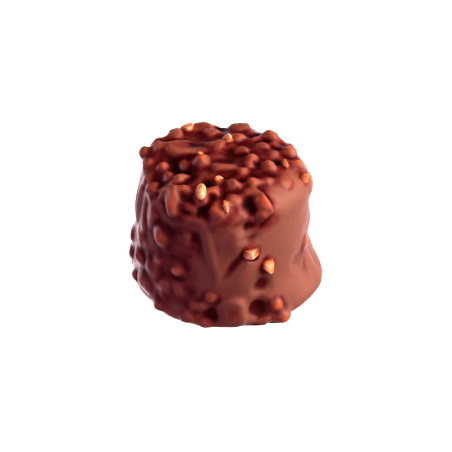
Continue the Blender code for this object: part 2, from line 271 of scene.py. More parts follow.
@dataclass
class Drum:
    """The form under the coat, with sizes in metres."""

    base_radius: float = 20.2 * MM  # radius at the foot
    neck_radius: float = 17.7 * MM  # radius where the wall would meet the crown's edge
    height: float = 29.0 * MM  # height of the crown's edge
    crown_rise: float = 1.0 * MM  # how much higher the crown's middle is
    lip_round: float = 1.5 * MM  # radius of the round at the foot
    shoulder_round: float = 5.5 * MM  # radius of the round at the top
    axis: Vector = field(default_factory=lambda: Vector((-0.6 * MM, -0.2 * MM, 0.0)))  # where it stands
    wall_faces: int = 128  # faces round the wall
    profile_faces: int = 90  # faces up the profile
    weld: float = 0.002 * MM  # distance under which two of its points become one

    def __post_init__(self) -> None:
        """Works out the climb, in metres, to each change of the profile."""
        self.wall_height = self.height - self.shoulder_round - self.lip_round
        self.lean = self.base_radius - self.neck_radius
        self.lip_climb = self.lip_round * math.pi / 2
        self.wall_climb = self.lip_climb + math.hypot(self.wall_height, self.lean)
        self.shoulder_climb = self.wall_climb + self.shoulder_round * math.pi / 2
        self.full_climb = self.shoulder_climb + self.neck_radius - self.shoulder_round

    def frame_at(self, azimuth: float, climb: float, turn: float = 0.0) -> Matrix:
        """The place and the axes of something that lies on the drum.

        Args:
            azimuth: degrees round the axis.
            climb: metres up the profile.
            turn: degrees from the horizontal to its first axis.

        Returns:
            A matrix whose columns are along the thing, aside of it, out of the drum, and its place.
        """
        lip = min(max(climb / self.lip_round, 0), math.pi / 2) - math.pi / 2
        wall = min(max((climb - self.lip_climb) / (self.wall_climb - self.lip_climb), 0), 1)
        shoulder = min(max((climb - self.wall_climb) / self.shoulder_round, 0), math.pi / 2)
        crown = min(max((climb - self.shoulder_climb) / (self.full_climb - self.shoulder_climb), 0), 1)
        radius = self.base_radius - self.lip_round * (1 - math.cos(lip)) - self.lean * wall
        radius = (radius - self.shoulder_round * (1 - math.cos(shoulder))) * (1 - crown)
        height = self.lip_round * (1 + math.sin(lip)) + self.wall_height * wall
        height += self.shoulder_round * math.sin(shoulder) + self.crown_rise * (1 - (1 - crown) ** 2)
        angle = math.radians(azimuth)
        tilt = lip + shoulder
        outwards = Vector((math.sin(angle), -math.cos(angle), 0))
        normal = outwards * math.cos(tilt) + Vector((0, 0, math.sin(tilt)))
        across = Vector((math.cos(angle), math.sin(angle), 0))
        along = Matrix.Rotation(math.radians(turn), 3, normal) @ across
        aside = normal.cross(along)
        matrix = Matrix((along, aside, normal)).transposed().to_4x4()
        matrix.translation = self.axis + outwards * radius + Vector((0, 0, height))
        return matrix

    def frame_of(self, nut: Nut) -> Matrix:
        """The place and the axes of a nut on the drum."""
        return self.frame_at(nut.azimuth, nut.climb * MM, nut.turn)

    def outwards(self, points: np.ndarray) -> np.ndarray:
        """Which way is out of the coat at some points: sideways on the wall, up on the crown.

        Args:
            points: one point a row, in metres.

        Returns:
            One unit vector a row.
        """
        flat = points[:, :2] - np.array(self.axis[:2])
        radius = np.maximum(np.hypot(flat[:, 0], flat[:, 1]), TINY)
        heart = np.minimum(radius, self.neck_radius - self.shoulder_round)
        sideways = flat * ((radius - heart) / radius)[:, None]
        upwards = np.maximum(points[:, 2] - (self.height - self.shoulder_round), 0)
        ways = np.column_stack([sideways, upwards])
        return ways / np.maximum(np.linalg.norm(ways, axis=1), TINY)[:, None]

    def swell_at(self, points: np.ndarray) -> np.ndarray:
        """How far the swells move some points outwards.

        Args:
            points: one point a row, in metres.

        Returns:
            One distance a row, in metres.
        """
        total = np.zeros(len(points))
        for swell in SWELLS:
            local = seen_from(self.frame_at(swell.azimuth, swell.climb * MM, swell.turn), points)
            half_depth = 2 * max(swell.half_width, swell.half_height)
            size = np.array([swell.half_width, swell.half_height, half_depth]) * MM
            reach = np.clip(1 - ((local / size) ** 2).sum(axis=1), 0, 1)
            total += swell.rise * MM * reach**2
        return total

    def lift_of(self, nut: Nut) -> float:
        """How far the swells move a nut outwards, in metres."""
        return float(self.swell_at(np.array([self.frame_of(nut).translation]))[0])

    def outline(self) -> list:
        """The points of the drum's profile, from the middle of the base up to the middle of the crown."""
        climbs = [self.full_climb * step / self.profile_faces for step in range(self.profile_faces + 1)]
        return [Vector((0, 0, 0))] + [self.frame_at(0, climb).translation - self.axis for climb in climbs]

    def build(self) -> Thing:
        """Models the drum by spinning its profile round the axis.

        Returns:
            The drum as one closed object.
        """
        profile = self.outline()
        mesh = bpy.data.meshes.new("drum")
        mesh.from_pydata(profile, [(i, i + 1) for i in range(len(profile) - 1)], [])
        drum = placed("drum", mesh)
        edit_mode(drum, "VERT")
        bpy.ops.mesh.spin(steps=self.wall_faces, angle=math.tau, center=(0, 0, 0), axis=(0, 0, 1))
        bpy.ops.mesh.select_all(action="SELECT")
        bpy.ops.mesh.remove_doubles(threshold=self.weld)
        bpy.ops.mesh.normals_make_consistent(inside=False)
        object_mode()
        drum.data.transform(Matrix.Translation(self.axis))
        return drum


def start_clean() -> None:
    """Leaves edit mode and deselects everything."""
    object_mode()
    bpy.ops.object.select_all(action="DESELECT")


def object_mode() -> None:
    """Goes back to object mode if another mode is on."""
    if bpy.context.object and bpy.context.object.mode != "OBJECT":
        bpy.ops.object.mode_set(mode="OBJECT")


def take(piece: Thing) -> None:
    """Makes one object the only selected one, and the active one.

    Args:
        piece: the object.
    """
    start_clean()
    piece.select_set(True)
    bpy.context.view_layer.objects.active = piece


def edit_mode(piece: Thing, kind: str) -> None:
    """Opens one object in edit mode with everything selected.

    Args:
        piece: the object.
        kind: VERT, EDGE or FACE.
    """
    take(piece)
    bpy.ops.object.mode_set(mode="EDIT")
    bpy.ops.mesh.select_mode(type=kind)
    bpy.ops.mesh.select_all(action="SELECT")


def placed(name: str, data: bpy.types.ID) -> Thing:
    """Puts a new object in the scene.

    Args:
        name: its name.
        data: its mesh, light or camera.

    Returns:
        The object.
    """
    thing = bpy.data.objects.new(name, data)
    bpy.context.scene.collection.objects.link(thing)
    return thing


def smooth(piece: Thing, rounds: int, group: str = "") -> None:
    """Adds rounds of smoothing to an object's modifiers.

    Args:
        piece: the object.
        rounds: how often it is smoothed.
        group: the vertex group that says how strongly, or no name for all over.
    """
    modifier = piece.modifiers.new("smooth", "SMOOTH")
    modifier.factor = 0.5
    modifier.iterations = rounds
    modifier.vertex_group = group


def apply_modifiers(piece: Thing) -> None:
    """Applies an object's modifiers in their order.

    Args:
        piece: the object.
    """
    take(piece)
    for modifier in list(piece.modifiers):
        bpy.ops.object.modifier_apply(modifier=modifier.name)


def joined(pieces: list, name: str) -> Thing:
    """Joins objects into one.

    Args:
        pieces: the objects, of which the first is kept.
        name: the name of the result.

    Returns:
        The one object.
    """
    take(pieces[0])
    for piece in pieces:
        piece.select_set(True)
    bpy.ops.object.join()
    pieces[0].name = pieces[0].data.name = name
    return pieces[0]


def read(mesh: bpy.types.Mesh, what: str) -> np.ndarray:
    """Reads a mesh's vertex places or normals.

    Args:
        mesh: the mesh.
        what: co or normal.

    Returns:
        One vector a row.
    """
    values = np.empty(len(mesh.vertices) * 3)
    mesh.vertices.foreach_get(what, values)
    return values.reshape(-1, 3)


def write_places(mesh: bpy.types.Mesh, places: np.ndarray) -> None:
    """Sets a mesh's vertex places from one a row."""
    mesh.vertices.foreach_set("co", places.ravel())
    mesh.update()


def write_amount(mesh: bpy.types.Mesh, name: str, amounts: np.ndarray) -> None:
    """Stores one number for each vertex under a name that a material can read."""
    layer = mesh.attributes.new(name, "FLOAT", "POINT")
    layer.data.foreach_set("value", amounts.astype(np.float32))


def weigh(piece: Thing, name: str, weights: np.ndarray) -> None:
    """Makes a vertex group whose weights go by steps of a tenth.

    Args:
        piece: the object.
        name: the group's name.
        weights: one weight for each vertex, from 0 to 1.
    """
    group = piece.vertex_groups.new(name=name)
    levels = 10
    steps = np.round(weights * levels).astype(int)
    for level in range(1, levels + 1):
        group.add(np.flatnonzero(steps == level).tolist(), level / levels, "REPLACE")


def seen_from(there: Matrix, places: np.ndarray) -> np.ndarray:
    """Turns places into the axes of something else, one a row."""
    inverse = np.array(there.inverted())
    return places @ inverse[:3, :3].T + inverse[:3, 3]


def smoothstep(low: float, high: float, values: np.ndarray) -> np.ndarray:
    """0 below the low value, 1 above the high one, and a smooth ramp between them."""
    share = np.clip((values - low) / (high - low), 0, 1)
    return share * share * (3 - 2 * share)


@dataclass
class NutScatter:
    """Adds nuts by rule where those seen from the front leave off."""

    drum: Drum
    seed: int = 11  # start of the random draws
    tries: int = 6000  # places that are tried
    top_gap: float = 2.7 * MM  # least distance between nuts on the crown, in metres
    wall_gap: float = 4.3 * MM  # the same on the wall
    climbs: tuple = (1.2, 31.5)  # between which climbs they lie, in millimetres
    lengths: tuple = (2.0, 4.6)  # length of the smallest and of the largest nut, in millimetres
    widths: tuple = (0.5, 0.9)  # least and greatest width, for each millimetre of length
    least_rise: float = 0.3  # rise that each has, in millimetres
    rises: tuple = (0.08, 0.24)  # least and greatest further rise, for each millimetre of length
    thinnest: float = 0.4  # how thin the chocolate on them is at most
    bare_share: float = 0.08  # part of them that the chocolate didn't cover
    lowest_bare: float = 6.0  # least climb of those, in millimetres
    seen_to: float = 100.0  # azimuth up to which the bare ones are all listed
    # Between which azimuths the left side has no more than the nuts listed.
    calm_azimuths: tuple = (-106.0, -23.0)
    calm_climbs: tuple = (13.5, 28.0)  # the same for the climb, in millimetres

    def nuts(self) -> list:
        """Draws the nuts.

        Returns:
            The nuts seen from the front, then the drawn ones.
        """
        draw = random.Random(self.seed)
        nuts = list(SEEN_NUTS)
        places = [self.drum.frame_of(nut).translation for nut in nuts]
        for _ in range(self.tries):
            nut = self._draw_nut(draw)
            if self._left_out(nut):
                continue
            place = self.drum.frame_of(nut).translation
            gap = self._gap(nut.climb * MM)
            if all((place - other).length > gap for other in places):
                nuts.append(nut)
                places.append(place)
        return nuts

    def _draw_nut(self, draw: random.Random) -> Nut:
        """Draws the place, size, turn, dress and chunk of one nut.

        Args:
            draw: where the draws come from.

        Returns:
            The nut.
        """
        azimuth = draw.uniform(-180, 180)
        climb = draw.uniform(*self.climbs)
        length = draw.uniform(*self.lengths)
        width = length * draw.uniform(*self.widths)
        rise = self.least_rise + length * draw.uniform(*self.rises)
        turn = draw.uniform(0, 180)
        seen = abs(azimuth) < self.seen_to
        bare = draw.random() < self.bare_share and climb > self.lowest_bare and not seen
        dress = Dress.BARE if bare else Dress.COATED
        chunk = draw.choice(list(Chunk))
        thin = draw.uniform(0, self.thinnest)
        return Nut(azimuth, climb, length, width, rise, thin, chunk, turn, dress)

    def _left_out(self, nut: Nut) -> bool:
        """Whether a nut lies where the photograph shows none but those listed."""
        (west, east), (low, high) = self.calm_azimuths, self.calm_climbs
        return SMOOTH_FROM < nut.azimuth < SMOOTH_TO or west < nut.azimuth < east and low < nut.climb < high

    def _gap(self, climb: float) -> float:
        """The least distance to the next nut at a climb in metres."""
        share = (climb - self.drum.wall_climb) / (self.drum.shoulder_climb - self.drum.wall_climb)
        return self.wall_gap + (self.top_gap - self.wall_gap) * min(max(share, 0), 1)


@dataclass
class ChunkKit:
    """The broken nuts, each modelled once at radius 1 and then copied to its places."""

    drum: Drum
    edge_round: float = 0.1  # how much the broken edges are rounded
    edge_faces: int = 2  # faces across such a round
    edge_angle: float = 25.0  # degrees from which an edge counts as broken
    depth: float = 1.35  # a nut's half-depth for each millimetre that it stands out
    deepest: float = 0.62  # its half-depth for each millimetre of its width, at most

    def __post_init__(self) -> None:
        """Models one of each kind."""
        self.models = {chunk: self._model(chunk) for chunk in Chunk}

    def _model(self, chunk: Chunk) -> bpy.types.Mesh:
        """Cuts the flats of one kind from a ball and rounds the edges.

        Args:
            chunk: the kind.

        Returns:
            Its mesh.
        """
        start_clean()
        bpy.ops.mesh.primitive_ico_sphere_add(subdivisions=3, radius=1)
        ball = bpy.context.object
        bpy.ops.object.mode_set(mode="EDIT")
        for x, y, z, reach in chunk.value:
            bpy.ops.mesh.select_all(action="SELECT")
            way = Vector((x, y, z)).normalized()
            bpy.ops.mesh.bisect(plane_co=way * reach, plane_no=way, use_fill=True, clear_outer=True)
        object_mode()
        top = max(vertex.co.z for vertex in ball.data.vertices)
        ball.data.transform(Matrix.Diagonal((1, 1, 1 / top, 1)))
        bevel = ball.modifiers.new("round the breaks", "BEVEL")
        bevel.width = self.edge_round
        bevel.segments = self.edge_faces
        bevel.limit_method = "ANGLE"
        bevel.angle_limit = math.radians(self.edge_angle)
        apply_modifiers(ball)
        mesh = ball.data.copy()
        mesh.name = "chunk_" + chunk.name.lower()
        bpy.data.objects.remove(ball)
        return mesh

    def copy(self, nut: Nut, swollen: float, lift: float) -> Thing:
        """Places a copy of a nut's chunk on the drum.

        Args:
            nut: the nut.
            swollen: how many times as long and as wide as the nut the copy is.
            lift: metres by which it is raised, or sunk if less than 0.

        Returns:
            The copy, with its own mesh.
        """
        mesh = self.models[nut.chunk].copy()
        depth = min(nut.rise * self.depth, nut.width * self.deepest)
        place = self.drum.frame_of(nut)
        place.translation += place.col[2].to_3d() * ((nut.rise - depth) * MM + lift)
        sizes = Vector((nut.length / 2 * swollen, nut.width / 2 * swollen, depth, 1 / MM)) * MM
        mesh.transform(place @ Matrix.Diagonal(sizes))
        return placed("chopped_nut", mesh)


@dataclass
class Coat:
    """The milk chocolate over the drum and its nuts, with sizes in metres."""

    kit: ChunkKit
    nuts: list
    drum: Drum
    grain: float = 0.27 * MM  # size of the faces of the drawn skin
    thickness: float = 1.4  # how many times as wide the chocolate makes a nut
    bare_thickness: float = 1.1  # the same for a bare one, round its foot
    bridge: float = 0.85 * MM  # how far the skin swells to close the clefts between the nuts
    settle: float = -0.8 * MM  # how far it then shrinks back, below 0
    collar: float = 0.8 * MM  # how deep a bare nut sits under its own top in the skin
    # Size and depth of each unevenness, and its share on the wall and on the crown.
    strays: tuple = ((1.7 * MM, 0.9 * MM, 0.7, 0.3), (3.2 * MM, 1.1 * MM, 0.3, 0.55))
    stray_nutty: tuple = (0.1, 0.6)  # between which values of nutty it sets in
    crown_edge: float = 4 * MM  # how far below the crown's edge its share of the crown sets in
    flow: int = 15  # rounds of smoothing all over
    pooling: int = 24  # further rounds on the wall, where the chocolate is thick
    pool_edges: tuple = (2 * MM, 7 * MM)  # between which depths below the crown's edge they set in
    base_cut: float = 0.06 * MM  # height of the flat cut at the base
    base_slack: float = 1.01  # times that height up to which points are set down on the floor
    shortest_edge: float = 0.02 * MM  # length of the shortest edge that stays at the cut
    # Name of each relief, the rounds of smoothing that take it away, and its full height.
    # The material paints shade into the low relief and highlight onto the high relief.
    reliefs: tuple = (("crest", 30, 0.16 * MM), ("hill", 300, 0.4 * MM))
    thin_reach: float = 0.62  # how far out a nut's coat is thin, against the nut's length and width
    thin_depth: float = 2.4  # the same upwards, against its rise
    least_rise: float = 0.8  # least rise that counts there, in millimetres
    thin_fade: float = 0.8  # how fast the coat gets thicker outwards
    nutty_reach: float = 5.0 * MM  # how far from a nut the coat counts as nutty
    lonely_reach: float = 2.6 * MM  # the same round a nut on the smooth part of the wall

    def build(self) -> Thing:
        """Draws the skin over the drum and the nuts.

        Returns:
            The coat as one closed object.
        """
        fits = {Dress.BARE: (self.bare_thickness, -self.collar), Dress.COATED: (self.thickness, 0.0)}
        lumps = [self.kit.copy(nut, *fits[nut.dress]) for nut in self.nuts]
        self.skin = joined([self.drum.build()] + lumps, "chocolate_coat")
        self._draw_skin()
        self._stray()
        self._flow()
        self._swell()
        self._cut_base()
        return self.skin

    def _draw_skin(self) -> None:
        """Makes the crossing solids one skin, swells it until the clefts close, and lets it shrink back."""
        for name, swelling in (("one skin", self.bridge), ("closed clefts", self.settle), ("even skin", 0)):
            remesh = self.skin.modifiers.new(name, "REMESH")
            remesh.mode = "VOXEL"
            remesh.voxel_size = self.grain
            if swelling:
                swell = self.skin.modifiers.new(name + " swelling", "DISPLACE")
                swell.mid_level = 0
                swell.strength = swelling
        apply_modifiers(self.skin)

    def _stray(self) -> None:
        """Makes the skin uneven where there are nuts below."""
        places = read(self.skin.data, "co")
        crown = smoothstep(self.drum.height - self.crown_edge, self.drum.height, places[:, 2])
        nutty = smoothstep(*self.stray_nutty, self._nuts_below(places)[1])
        for number, (size, depth, on_wall, on_crown) in enumerate(self.strays):
            group = f"stray {number}"
            weigh(self.skin, group, nutty * (on_wall + (on_crown - on_wall) * crown))
            clouds = bpy.data.textures.new(group, "CLOUDS")
            clouds.noise_scale = size
            stray = self.skin.modifiers.new(group, "DISPLACE")
            stray.texture = clouds
            stray.texture_coords = "LOCAL"
            stray.mid_level = 0.5
            stray.strength = depth
            stray.vertex_group = group
        apply_modifiers(self.skin)
        self.skin.vertex_groups.clear()

    def _flow(self) -> None:
        """Smooths the skin all over, and more where the chocolate lies thick on the wall."""
        places = read(self.skin.data, "co")
        upper, lower = (self.drum.height - edge for edge in self.pool_edges)
        weigh(self.skin, "thick", 1 - smoothstep(lower, upper, places[:, 2]))
        smooth(self.skin, self.flow)
        smooth(self.skin, self.pooling, "thick")
        apply_modifiers(self.skin)
        self.skin.vertex_groups.clear()

    def _swell(self) -> None:
        """Moves the skin by the swells."""
        places = read(self.skin.data, "co")
        moves = self.drum.outwards(places) * self.drum.swell_at(places)[:, None]
        write_places(self.skin.data, places + moves)

    def _cut_base(self) -> None:
        """Cuts the skin flat where it stands."""
        floor = (0, 0, self.base_cut)
        edit_mode(self.skin, "VERT")
        bpy.ops.mesh.bisect(plane_co=floor, plane_no=(0, 0, -1), use_fill=True, clear_outer=True)
        bpy.ops.mesh.select_all(action="SELECT")
        bpy.ops.mesh.dissolve_degenerate(threshold=self.shortest_edge)
        bpy.ops.mesh.select_all(action="DESELECT")
        bpy.ops.mesh.select_face_by_sides(number=4, type="GREATER")
        bpy.ops.mesh.quads_convert_to_tris()
        object_mode()
        self.skin.data.validate()
        places = read(self.skin.data, "co")
        places[places[:, 2] < self.base_cut * self.base_slack, 2] = 0
        write_places(self.skin.data, places)

    def dress(self) -> None:
        """Marks where the coat is thin and where it is a crest or a hollow, from which the material paints
        highlight and shade, and gives it its finish.
        """
        mesh = self.skin.data
        places, normals = read(mesh, "co"), read(mesh, "normal")
        # Relief heights, which the material turns into painted shade and painted highlight.
        for name, rounds, span in self.reliefs:
            height = ((places - smoothed_places(self.skin, rounds)) * normals).sum(axis=1)
            write_amount(mesh, name, 0.5 + 0.5 * np.clip(height / span, -1, 1))
        thin, nutty = self._nuts_below(places)
        write_amount(mesh, "thin", thin)
        write_amount(mesh, "nutty", nutty)
        mesh.materials.append(MilkChocolate().material())
        take(self.skin)
        bpy.ops.object.shade_smooth()

    def _nuts_below(self, places: np.ndarray) -> tuple:
        """Finds the nuts under the coat.

        Args:
            places: the coat's vertices.

        Returns:
            At each vertex, how thin the coat on a nut is and how near the next nut is, both from 0 to 1.
        """
        thin, nutty = np.zeros(len(places)), np.zeros(len(places))
        for nut in self.nuts:
            raised = self.drum.frame_of(nut)
            raised.translation += raised.col[2].to_3d() * self.drum.lift_of(nut)
            local = seen_from(raised, places)
            depth = self.thin_depth * max(nut.rise, self.least_rise)
            size = np.array([nut.length, nut.width, depth]) * MM * self.thin_reach
            near = np.clip(1 - ((local / size) ** 2).sum(axis=1) * self.thin_fade, 0, 1)
            thin = np.maximum(thin, near * nut.thin)
            reach = self.lonely_reach if nut.lonely else self.nutty_reach
            nutty = np.maximum(nutty, 1 - np.linalg.norm(local, axis=1) / reach)
        return thin, nutty


def smoothed_places(piece: Thing, rounds: int) -> np.ndarray:
    """Smooths a copy of an object, so that its relief can be read off against the copy.

    Args:
        piece: the object, which stays as it is.
        rounds: rounds of smoothing.

    Returns:
        The copy's vertex places, one a row.
    """
    copy = placed("relief_copy", piece.data.copy())
    smooth(copy, rounds)
    apply_modifiers(copy)
    places = read(copy.data, "co")
    bpy.data.meshes.remove(copy.data)
    return places


@dataclass
class BareNuts:
    """The nuts that stand out of the coat with no chocolate on top."""

    kit: ChunkKit
    nuts: list
    coat: Thing  # the skin that the bare ones stand out of
    film_reach: float = 0.55 * MM  # how far up the nut the chocolate's edge smears, in metres
    facet_angle: float = 35.0  # degrees from which an edge between two facets stays sharp

    def build(self) -> Thing:
        """Copies the bare nuts to their places.

        Returns:
            All bare nuts as one object.
        """
        bare = [nut for nut in self.nuts if nut.dress is Dress.BARE]
        copies = [self.kit.copy(nut, 1.0, self.kit.drum.lift_of(nut)) for nut in bare]
        self.pieces = joined(copies, "bare_hazelnuts")
        return self.pieces

    def dress(self) -> None:
        """Marks the chocolate film round each nut's foot and gives the nuts their finish."""
        mesh = self.pieces.data
        corners = [vertex.co for vertex in self.coat.data.vertices]
        skin = BVHTree.FromPolygons(corners, [face.vertices for face in self.coat.data.polygons])
        heights = []
        for vertex in mesh.vertices:
            near, normal, _, _ = skin.find_nearest(vertex.co)
            heights.append((vertex.co - near).dot(normal))
        write_amount(mesh, "film", 1 - smoothstep(0.0, self.film_reach, np.array(heights)))
        mesh.materials.append(RawHazelnut().material())
        take(self.pieces)
        bpy.ops.object.shade_smooth_by_angle(angle=math.radians(self.facet_angle))


class Nodes:
    """Adds nodes to one material, or to the world. Colours are red, green and blue."""

    def __init__(self, owner: bpy.types.ID, shader: str = "Principled BSDF") -> None:
        """Starts from the shader and the output that the owner has at first.

        Args:
            owner: the new material or world.
            shader: name of its shader.
        """
        owner.use_nodes = True
        self.owner = owner
        self.tree = owner.node_tree
        self.shader = self.tree.nodes[shader]

    def fill(self, node: bpy.types.Node, values: dict) -> None:
        """Fills inputs of a node.

        Args:
            node: the node.
            values: for each input, by name or number, its value or the output that is linked to it.
        """
        for name, value in values.items():
            socket = node.inputs[name]
            if isinstance(value, Socket):
                self.tree.links.new(value, socket)
            else:
                socket.default_value = (*value, 1) if socket.type == "RGBA" else value

    def finish(self, values: dict) -> bpy.types.ID:
        """Fills inputs of the shader, and hands over the material or world."""
        self.fill(self.shader, values)
        return self.owner

    def add(self, kind: str, output: str | int, values: dict | None = None, **settings) -> Socket:
        """Adds a node.

        Args:
            kind: its type.
            output: name or number of the output that is wanted.
            values: what its inputs are filled with.
            settings: values of its properties.

        Returns:
            That output.
        """
        node = self.tree.nodes.new(kind)
        for name, value in settings.items():
            setattr(node, name, value)
        self.fill(node, values or {})
        return node.outputs[output]

    def amount(self, name: str) -> Socket:
        """The output of a number that is stored on the mesh."""
        return self.add("ShaderNodeAttribute", "Fac", attribute_name=name)

    def noise(self, size: float, detail: float, roughness: float) -> Socket:
        """A noise on the object, with patches of a size in metres, finer octaves and their strength."""
        values = {"Vector": self.add("ShaderNodeTexCoord", "Object"), "Detail": detail}
        return self.add("ShaderNodeTexNoise", "Fac", {**values, "Scale": 1 / size, "Roughness": roughness})

    def noises(self, kinds: tuple) -> Socket:
        """Adds up noises, each given by its size, detail, roughness and weight."""
        return self.sum_of(*((self.noise(*kind), weight) for *kind, weight in kinds))

    def ramp(self, value: Socket, places: tuple, colours: tuple) -> Socket:
        """Turns a number into a colour.

        Args:
            value: the number's output.
            places: the values of the number, from 0 to 1, at which a colour is reached.
            colours: those colours.

        Returns:
            The colour's output.
        """
        colour = self.add("ShaderNodeValToRGB", "Color", {"Fac": value})
        elements = colour.node.color_ramp.elements
        while len(elements) < len(places):
            elements.new(0.5)
        for element, place, shade in zip(elements, places, colours):
            element.position = place
            element.color = (*shade, 1)
        return colour

    def spread(self, value: Socket, old: tuple, new: tuple = (0.0, 1.0)) -> Socket:
        """Maps a range of a number, given by its two ends, to a new range and stops at its ends."""
        ends = {"From Min": old[0], "From Max": old[1], "To Min": new[0], "To Max": new[1]}
        return self.add("ShaderNodeMapRange", "Result", {"Value": value, **ends})

    def sum_of(self, *terms) -> Socket:
        """Adds up outputs.

        Args:
            terms: pairs of an output and the weight that it has.

        Returns:
            The output of the sum.
        """
        total = 0
        for value, weight in terms:
            numbers = {0: value, 1: weight, 2: total}
            total = self.add("ShaderNodeMath", 0, numbers, operation="MULTIPLY_ADD")
        return total

    def product(self, first: Socket, second: Socket) -> Socket:
        """Multiplies two numbers."""
        return self.add("ShaderNodeMath", 0, {0: first, 1: second}, operation="MULTIPLY")

    def mix(self, share: Socket, first: Socket, second: Socket | tuple) -> Socket:
        """Mixes two colours by the share, from 0 to 1, that the second one has."""
        return self.add("ShaderNodeMix", 2, {0: share, 6: first, 7: second}, data_type="RGBA")

    def bump(self, height: Socket, depth: float) -> Socket:
        """Roughens the normal by a height from 0 to 1 that stands for a depth in metres."""
        return self.add("ShaderNodeBump", "Normal", {"Height": height, "Strength": 1, "Distance": depth})


@dataclass(frozen=True)
class MilkChocolate:
    """Satin milk chocolate with painted shade in its hollows and a painted highlight on its crests, a
    smooth side whose paler tone is partly a painted sheen, and orange where it is thin over a nut, partly
    the nut showing through and partly painted highlight.

    Each range gives the two values between which something sets in. Noises are given as Nodes.noises says.
    """

    # hollow and deep are painted shade, laid on the hollows and clefts between the lumps; body is the
    # chocolate's own colour.
    hollow: tuple = (0.026, 0.001, 0.001)
    deep: tuple = (0.080, 0.006, 0.010)
    body: tuple = (0.160, 0.034, 0.035)
    # crest is a painted highlight on the tops of the lumps.
    crest: tuple = (0.228, 0.084, 0.062)
    # The smooth side's chocolate, paler and less saturated than the body: partly its own tone, partly a
    # painted sheen.
    smooth: tuple = (0.198, 0.079, 0.062)
    # Orange of thin chocolate over a nut, laid on its crests only: partly the nut showing through, partly a
    # painted highlight.
    thin: tuple = (0.45, 0.120, 0.058)
    # Relief values at which the painted shade, the body colour and the painted highlight are reached.
    nutty_stops: tuple = (0.42, 0.62, 0.79, 1.0)
    smooth_stops: tuple = (0.3, 0.5)
    speckles: tuple = (0.9 * MM, 3, 0.55, 0.1)
    patches: tuple = (3.2 * MM, 3, 0.55, 0.45)
    nutty_range: tuple = (0.02, 0.36)
    thin_range: tuple = (0.25, 0.9)
    thin_crests: tuple = (0.5, 0.85)
    smears: tuple = ((1.6 * MM, 4, 0.6, 0.24), (6 * MM, 2, 0.55, 0.16))
    smear_range: tuple = (0.0, 0.4)
    satin: tuple = (0.41, 0.67)
    shine_range: tuple = (0.1, 0.5)
    shine: float = 0.20
    dull_range: tuple = (0.25, 0.5)
    dull_hollows: float = 0.08
    ripples: tuple = ((1.1 * MM, 3, 0.5, 0.7), (0.35 * MM, 2, 0.5, 0.3))
    ripple_depth: float = 0.09 * MM
    gloss: float = 0.40
    glow: float = 0.12
    glow_colour: tuple = (1.0, 0.3, 0.18)
    glow_depth: float = 0.8 * MM

    def material(self) -> bpy.types.Material:
        """Builds the material.

        Returns:
            The material, which reads crest, hill, thin and nutty from the mesh.
        """
        nodes = Nodes(bpy.data.materials.new("milk chocolate"))
        crest, nutty = nodes.amount("crest"), nodes.amount("nutty")
        speckles = (nodes.noises((self.speckles,)), 1.0)
        # The relief picks the painted shade of the hollows and the painted highlight of the crests; the
        # patches add the chocolate's own uneven tone.
        relief = nodes.sum_of((crest, 0.5), (nodes.amount("hill"), 0.5), speckles)
        uneven = nodes.sum_of((relief, 1.0), (nodes.noises((self.patches,)), 1.0))
        rough_side = nodes.ramp(uneven, self.nutty_stops, (self.hollow, self.deep, self.body, self.crest))
        # On the smooth side the hollows get painted shade and the rest the paler smooth tone, partly a
        # painted sheen.
        smooth_side = nodes.ramp(relief, self.smooth_stops, (self.deep, self.smooth))
        colour = nodes.mix(nodes.spread(nutty, self.nutty_range), smooth_side, rough_side)
        thin = nodes.spread(nodes.amount("thin"), self.thin_range)
        # The thin chocolate's orange goes on crests only, so it is partly a painted highlight.
        thin_crests = nodes.product(thin, nodes.spread(crest, self.thin_crests))
        satin = nodes.spread(nodes.noises(self.smears), self.smear_range, self.satin)
        shine = nodes.spread(nutty, self.shine_range, (0.0, self.shine))
        dull = nodes.spread(relief, self.dull_range, (self.dull_hollows, 0.0))
        return nodes.finish({
            "Base Color": nodes.mix(thin_crests, colour, self.thin),
            "Roughness": nodes.sum_of((satin, 1.0), (shine, -1.0), (dull, 1.0)),
            "Normal": nodes.bump(nodes.noises(self.ripples), self.ripple_depth),
            "Subsurface Weight": self.glow,
            "Subsurface Radius": self.glow_colour,
            "Subsurface Scale": self.glow_depth,
            "Specular IOR Level": self.gloss,
        })


@dataclass(frozen=True)
class RawHazelnut:
    """Broken roasted hazelnut: pale cream flesh, tan where it is roasted, and stained at its foot."""

    cream: tuple = (0.66, 0.36, 0.225)
    tan: tuple = (0.44, 0.155, 0.08)
    stain: tuple = (0.20, 0.045, 0.028)
    flesh_stops: tuple = (0.36, 0.60)
    patches: tuple = (1.3 * MM, 4, 0.55)
    patchy_film: float = 0.6
    film_range: tuple = (0.45, 1.05)
    roughness: float = 0.42
    grain: tuple = (0.3 * MM, 3, 0.6)
    grain_depth: float = 0.06 * MM
    glow: float = 0.15
    glow_colour: tuple = (1.0, 0.5, 0.25)
    glow_depth: float = 0.6 * MM

    def material(self) -> bpy.types.Material:
        """Builds the material.

        Returns:
            The material, which reads film from the mesh.
        """
        nodes = Nodes(bpy.data.materials.new("bare hazelnut"))
        patches = nodes.noise(*self.patches)
        flesh = nodes.ramp(patches, self.flesh_stops, (self.tan, self.cream))
        film = nodes.sum_of((nodes.amount("film"), 1.0), (patches, self.patchy_film))
        return nodes.finish({
            "Base Color": nodes.mix(nodes.spread(film, self.film_range), flesh, self.stain),
            "Roughness": self.roughness,
            "Normal": nodes.bump(nodes.noise(*self.grain), self.grain_depth),
            "Subsurface Weight": self.glow,
            "Subsurface Radius": self.glow_colour,
            "Subsurface Scale": self.glow_depth,
        })


